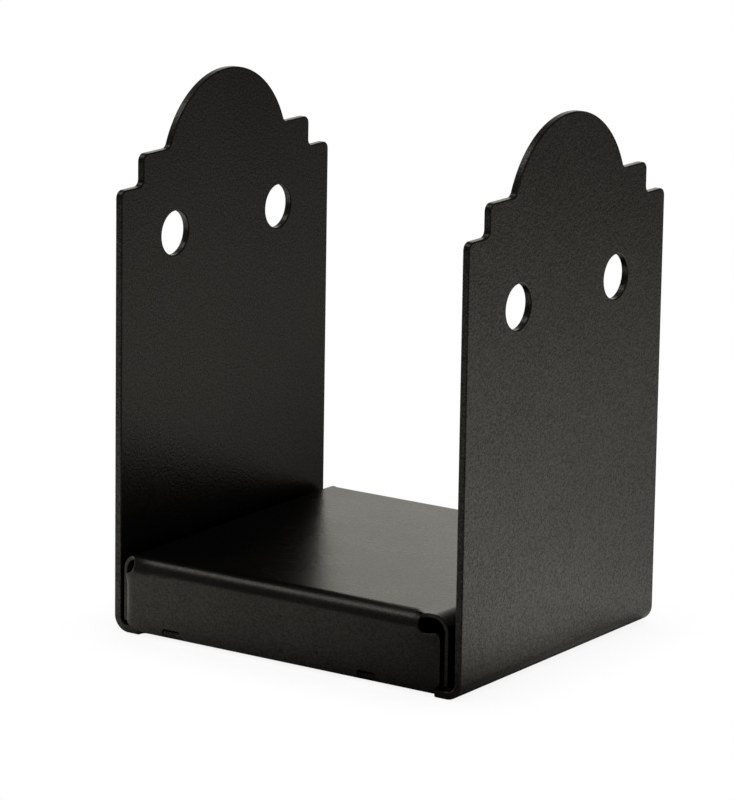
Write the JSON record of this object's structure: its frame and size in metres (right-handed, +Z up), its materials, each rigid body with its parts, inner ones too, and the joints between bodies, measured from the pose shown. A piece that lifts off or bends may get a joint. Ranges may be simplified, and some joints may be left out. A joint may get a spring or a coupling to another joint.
{
  "type": "elevated post base",
  "caption": "Stepped saddle bracket that bolts to both sides of a square post, with a loose standoff plate that lifts the post off the ground.",
  "frame": {"origin": "on the ground, at the middle of the bracket's footprint", "axes": "+Z up, +X across the post opening from the plate with the higher bolt holes to the plate with the lower ones, -Y the open front"},
  "size_m": [0.148, 0.1306, 0.1958],
  "materials": {
    "bracket_coat": "satin textured black powder coat",
    "standoff_coat": "satin textured black powder coat"
  },
  "bodies": {
    "bracket": {"saddle_bracket": "bracket_coat"},
    "standoff": {"standoff_plate": "standoff_coat"}
  },
  "joints": [
    {"name": "standoff_lift", "type": "slide", "parent": "bracket", "child": "standoff", "axis": [0, 0, 1], "range_m": [0, 0.2]}
  ]
}
